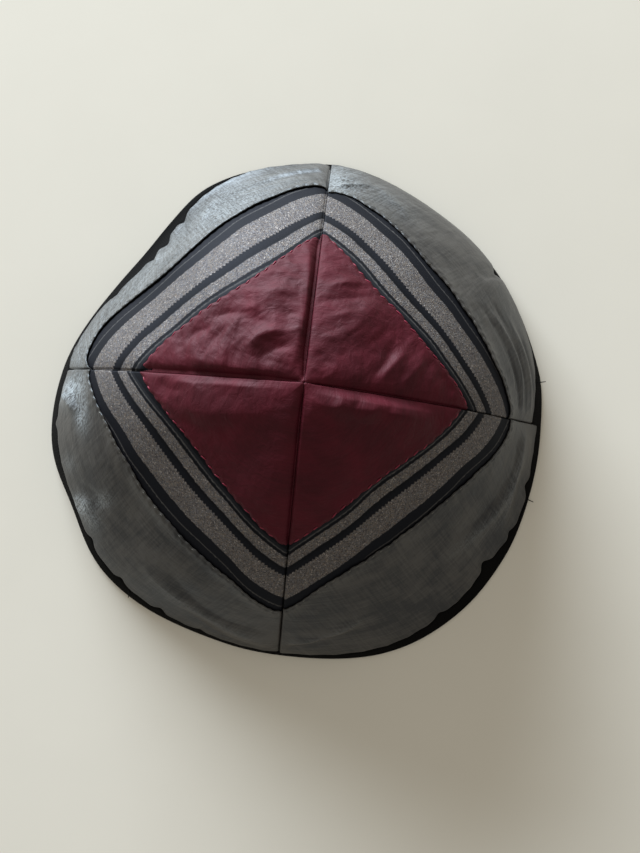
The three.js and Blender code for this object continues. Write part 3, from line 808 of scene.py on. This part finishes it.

# Taffeta: crisp dark grey that shimmers pale blue where it faces the light, with fine cross threads, streaks of
# uneven yarn, clouds of tone, bands of painted light and shade that stand for soft folds, crinkles, and patches
# of painted pale sheen. Threads lie 0.2 mm apart and are drawn at 0.7 mm, or they would not show.
YARN, YARN_STREAK = 0.7, 11.67
TAFFETA_CLOUD = 14.3
TAFFETA_CRINKLE = 5.0
BAND_LENGTH, BAND_WIDTH = 40, 9
taffeta = plain_material("grey shot taffeta")
chart = node(taffeta, "ShaderNodeUVMap", {"uv_map": "cloth"})
down_yarn = node(taffeta, "ShaderNodeMapping", {}, {0: chart.outputs[0], 3: (1 / YARN, 1 / YARN_STREAK, 1.0)})
cross_yarn = node(taffeta, "ShaderNodeMapping", {}, {0: chart.outputs[0], 3: (1 / YARN_STREAK, 1 / YARN, 1.0)})
warp = node(taffeta, "ShaderNodeTexNoise", {"noise_dimensions": "2D"}, {
    "Vector": down_yarn.outputs[0], "Scale": 1.0, "Detail": 2.0})
weft = node(taffeta, "ShaderNodeTexNoise", {"noise_dimensions": "2D"}, {
    "Vector": cross_yarn.outputs[0], "Scale": 1.0, "Detail": 2.0})
weave = node(taffeta, "ShaderNodeMath", {"operation": "ADD"}, {0: warp.outputs[0], 1: weft.outputs[0]})
clouds = node(taffeta, "ShaderNodeTexNoise", {"noise_dimensions": "2D"}, {
    "Vector": chart.outputs[0], "Scale": 1 / TAFFETA_CLOUD, "Detail": 4.0, "Roughness": 0.6})
crinkle = node(taffeta, "ShaderNodeTexNoise", {"noise_dimensions": "2D"}, {
    "Vector": chart.outputs[0], "Scale": 1 / TAFFETA_CRINKLE, "Detail": 5.0, "Roughness": 0.6,
    "Distortion": 0.3})
# Painted fold shading: long soft bands of lighter and darker tone that stand for the sheen and shade of folds
painted_fold_map = node(taffeta, "ShaderNodeMapping", {}, {0: chart.outputs[0], 3: (1 / BAND_LENGTH, 1 / BAND_WIDTH, 1.0)})
painted_fold_bands = node(taffeta, "ShaderNodeTexNoise", {"noise_dimensions": "2D"}, {
    "Vector": painted_fold_map.outputs[0], "Scale": 1.0, "Detail": 1.0, "Distortion": 0.6})
mottled = node(taffeta, "ShaderNodeMath", {"operation": "MULTIPLY_ADD"}, {
    0: painted_fold_bands.outputs[0], 1: -0.6, 2: clouds.outputs[0]})
shade = node(taffeta, "ShaderNodeMath", {"operation": "MULTIPLY_ADD"}, {
    0: weave.outputs[0], 1: 0.4, 2: mottled.outputs[0]})
tone = node(taffeta, "ShaderNodeValToRGB", {}, {0: shade.outputs[0]}, ((0.4, "#2b2827"), (0.8, "#494643")))
# Painted sheen: pale blue-grey flecks are mixed into the tone where the point attribute is high, on crests and
# in the listed patches
painted_sheen_mask = node(taffeta, "ShaderNodeAttribute", {"attribute_name": "painted_shade_and_sheen"})
glints = node(taffeta, "ShaderNodeTexNoise", {"noise_dimensions": "2D"}, {
    "Vector": chart.outputs[0], "Scale": 1 / YARN, "Detail": 3.0, "Roughness": 0.7})
streaks = node(taffeta, "ShaderNodeMath", {"operation": "MULTIPLY_ADD"}, {
    0: weave.outputs[0], 1: 0.3, 2: glints.outputs[0]})
flecks = node(taffeta, "ShaderNodeMapRange", {"interpolation_type": "SMOOTHSTEP"}, {
    0: streaks.outputs[0], 1: 0.58, 2: 1.05, 3: 0.0, 4: 1.0})
flecked = node(taffeta, "ShaderNodeMath", {"operation": "MULTIPLY", "use_clamp": True}, {
    0: flecks.outputs[0], 1: painted_sheen_mask.outputs["Fac"]})
tone_with_painted_sheen = node(taffeta, "ShaderNodeMix", {"data_type": "RGBA"}, {
    0: flecked.outputs[0], 6: tone.outputs[0], 7: linear("#959da3")})
gloss = node(taffeta, "ShaderNodeMapRange", {}, {0: clouds.outputs[0], 1: 0.3, 2: 0.7, 3: 0.34, 4: 0.46})
height = node(taffeta, "ShaderNodeMath", {"operation": "MULTIPLY_ADD"}, {
    0: weave.outputs[0], 1: 0.15, 2: crinkle.outputs[0]})
relief = node(taffeta, "ShaderNodeBump", {}, {
    "Strength": 0.4, "Distance": 0.5 * MM, "Height": height.outputs[0]})
face = node(taffeta, "ShaderNodeBsdfPrincipled", {}, {
    "Base Color": tone_with_painted_sheen.outputs[2], "Roughness": gloss.outputs[0], "Specular IOR Level": 0.48,
    "Specular Tint": linear("#cfe2f4"), "Normal": relief.outputs[0]})
node(taffeta, "ShaderNodeOutputMaterial", {}, {0: face.outputs[0]})

# Stitches of the skirts: pale grey polyester thread, a little glossy. Their sizes are in the tips' order.
pale = thread_material("pale grey polyester thread", "#4c4c4a", "#767672", 0.5, 0.3)
SKIRT_STITCH_PITCH = 3.0
SKIRT_STITCH_IN = 0.6
SKIRT_PULL = (0.18, 0.12)
SKIRT_STITCH = (1.1, 0.16, 0.3)

for gore, name in enumerate(GORES):
    share = gore_shares(SKIRT_COLUMNS)
    edge = across(SKIRT_EDGES[gore], share)
    run, stitch_wave = stitch_row(gore, share, edge, SKIRT_STITCH_PITCH)
    edge = edge + SKIRT_SCALLOP * stitch_wave + SKIRT_WAVER * ripple(run, 0 * run, 11, 110 + gore)
    edge = edge - SKIRT_ROUNDING * (
        np.exp(-(run / ROUNDING_WIDTH) ** 2) + np.exp(-((run[-1] - run) / ROUNDING_WIDTH) ** 2))
    hem = hem_length(gore + np.clip(share, 0.0005, 0.9995))
    turn = np.linspace(EDGE_TURN, 0, 6)[:-1, None]
    body = np.concatenate([np.linspace(0, 0.12, 12), np.linspace(0.12, 1, 46)[1:]])[:, None]
    top, bottom = edge + EDGE_RADIUS, hem - EDGE_RADIUS
    length = np.concatenate([
        top - EDGE_RADIUS * np.sin(turn), top + (bottom - top) * body,
        bottom + EDGE_RADIUS * np.sin(turn[::-1])])
    point, normal, from_first, from_last = gore_grid(gore, share + 0 * length, length)
    middle = (from_first - from_last) / 2
    below, above = length - edge, hem - length
    near_seam = np.minimum(from_first, from_last)
    # Swells and creases die out beside the seams, the upper edge and the hem.
    calm = ease(0.5, 6, near_seam) * ease(0.5, 6, below) * ease(0, 5, above)
    swell = SKIRT_SWELL[gore] * ripple(middle, length * 0.6, 24, 130 + gore)
    gather = SKIRT_GATHER[gore] * rumple(middle * 0.5 + 40, length * 0.14, 1.7, 150 + gore)
    gather = gather * np.exp(-(below / 22) ** 2) * ease(0, 2, below)
    creases = crease_lift(SKIRT_CREASES, gore, share, length)
    lift = SKIRT_LIFT + (SKIRT_EDGE_LIFTS[gore] - SKIRT_LIFT) * np.exp(-(below / 3.0) ** 2)
    lift = lift + (HEM_LIFT - SKIRT_LIFT) * np.exp(-(above / 4.0) ** 2)
    # Painted sheen: a pale sheen painted on crease crests and in the listed patches, which also crumples them
    painted_sheen = CREST_PAINTED_SHEEN * np.clip(creases, 0, 1)
    for row_gore, at, at_length, half_across, half_down, amount in PAINTED_SHEEN_PATCHES:
        if row_gore == gore:
            aside = (share - at) * GORE_SPREAD * np.minimum(length, GORE_WIDEST)
            painted_sheen += amount * np.exp(-(aside / half_across) ** 2 - ((length - at_length) / half_down) ** 2)
    crumple = CRUMPLE * np.minimum(painted_sheen, 1) * rumple(length, middle, 6.0, 160 + gore)
    lift = lift + calm * (swell + creases + crumple) + gather * ease(0.5, 4, near_seam)
    for at, half, depth in PUCKERS:
        if at // 1 == gore:
            aside = (gore + share - at) / half
            dent = np.exp(-(aside / 1.3) ** 2) * np.exp(-(above / (3 + depth)) ** 2)
            lift = lift - PUCKER_DENT * depth * dent
    pull = SKIRT_PULL[0] + SKIRT_PULL[1] * stitch_wave
    pull = pull * np.exp(-((below - SKIRT_STITCH_IN) / PULL_WIDTH) ** 2)
    lift = np.maximum(lift - pull, SKIRT_LOWEST)
    lift[:len(turn)] -= EDGE_RADIUS * (1 - np.cos(turn))
    lift[-len(turn):] -= EDGE_RADIUS * (1 - np.cos(turn[::-1]))
    lift = seam_lift(gore, lift, from_first, from_last, TAFFETA_SOFTNESS)
    point = point + normal * lift[..., None]
    point[..., 2] = np.maximum(point[..., 2], HEM_CLEAR)
    skirt = cloth_piece("taffeta_skirt_" + name, point, np.stack([middle, length], -1), painted_shade_and_sheen=painted_sheen)
    give_thickness(skirt, CLOTH_THICKNESS, -1)
    skirt.data.materials.append(taffeta)
    at = np.argmin(np.abs(below[:, SKIRT_COLUMNS // 2] - SKIRT_STITCH_IN))
    stitches = sew("skirt_stitches_" + name, point[at, SEWN], normal[at, SEWN],
                   SKIRT_STITCH_PITCH, *SKIRT_STITCH, 170 + gore)
    stitches.data.materials.append(pale)
    for piece in (skirt, stitches):
        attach(piece, "root")
    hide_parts("skirt_" + name)


# Thread ends: three short ends of black cotton sewing thread, left hanging where the hem was finished off. Each
# is fixed only by the hem that it comes out of.
THREAD_END_RADIUS = 0.2
THREAD_END_TAPER = 0.6
THREAD_END_OUT = 0.2
# The place in gores, the length over the cloth from the apex, and how far the end reaches out, round and up
THREAD_ENDS = ((0.114, 97.5, 3.2, 0.2, 0.6), (3.80, 100.5, 2.4, -0.3, 0.3), (2.60, 101.8, 2.4, 1.6, 0.3))

# Cotton thread: matt black with a faint grey twist
thread_black = thread_material("black cotton thread", "#09090a", "#18181a", 0.8, 0.1)

for number, (place, length, out, aside, up) in enumerate(THREAD_ENDS):
    point, normal = wall_frame(np.array([place]), np.array([length]))
    beyond, _ = wall_frame(np.array([place + 0.01]), np.array([length]))
    sideways = Vector(beyond[0] - point[0]).normalized()
    outwards = Vector((normal[0][0], normal[0][1], 0)).normalized()
    start = Vector(point[0]) + outwards * THREAD_END_OUT
    reach = outwards * out + sideways * aside + Vector((0, 0, up))
    turn = reach.to_track_quat("Z", "Y").to_matrix().to_4x4()
    thread = bmesh.new()
    bmesh.ops.create_cone(thread, cap_ends=True, segments=8, radius1=THREAD_END_RADIUS * MM,
                          radius2=THREAD_END_TAPER * THREAD_END_RADIUS * MM, depth=reach.length * MM,
                          matrix=Matrix.Translation((start + reach / 2) * MM) @ turn)
    end = finished(f"thread_end_{number + 1}", thread)
    end.data.materials.append(thread_black)
    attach(end, "root")


# Setting: a floor of plain pale paper, one broad soft light from behind on the left, a dim warm room, and the
# camera almost straight above, where the focal length is in pixels of a picture 853 pixels high.
PAPER_CLOUD = 33.3
WINDOW_WAY = (-0.396, 0.890, 0.225)
WINDOW_DISTANCE = 2.2
FOCAL_PIXELS = 900
PICTURE_HEIGHT = 853

# Matt paper: pale, with hardly any change of tone
paper = plain_material("pale matt paper")
spot = node(paper, "ShaderNodeTexCoord")
mottle = node(paper, "ShaderNodeTexNoise", {}, {
    "Vector": spot.outputs["Object"], "Scale": 1 / (PAPER_CLOUD * MM), "Detail": 3.0})
tone = node(paper, "ShaderNodeValToRGB", {}, {0: mottle.outputs[0]}, ((0.0, "#e2e0d8"), (1.0, "#e7e5dd")))
face = node(paper, "ShaderNodeBsdfPrincipled", {}, {
    "Base Color": tone.outputs[0], "Roughness": 0.9, "Specular IOR Level": 0.2})
node(paper, "ShaderNodeOutputMaterial", {}, {0: face.outputs[0]})
sheet = bmesh.new()
bmesh.ops.create_grid(sheet, x_segments=2, y_segments=2, size=3.0)
floor = finished("floor", sheet)
floor.data.materials.append(paper)

window_data = bpy.data.lights.new("window", "AREA")
window_data.shape = "RECTANGLE"
window_data.size = 1.5
window_data.size_y = 0.7
window_data.energy = 130.0
window_data.color = (0.88, 0.95, 1.0)
window = bpy.data.objects.new("window", window_data)
bpy.context.scene.collection.objects.link(window)
window.location = Vector(WINDOW_WAY) * WINDOW_DISTANCE
window.rotation_euler = (-window.location).to_track_quat("-Z", "Y").to_euler()

room = bpy.data.worlds.new("room")
bpy.context.scene.world = room
room.use_nodes = True
room.node_tree.nodes["Background"].inputs[0].default_value = linear("#f5ecdc")
room.node_tree.nodes["Background"].inputs[1].default_value = 0.45

camera_data = bpy.data.cameras.new("camera")
camera_data.sensor_width = 36.0
camera_data.lens = FOCAL_PIXELS * camera_data.sensor_width / PICTURE_HEIGHT
camera = bpy.data.objects.new("camera", camera_data)
bpy.context.scene.collection.objects.link(camera)
camera.location = (0.00834, -0.03148, 0.3088)
camera.rotation_euler = (math.radians(4.5), 0, 0)
bpy.context.scene.camera = camera
bpy.context.scene.view_settings.view_transform = "Standard"
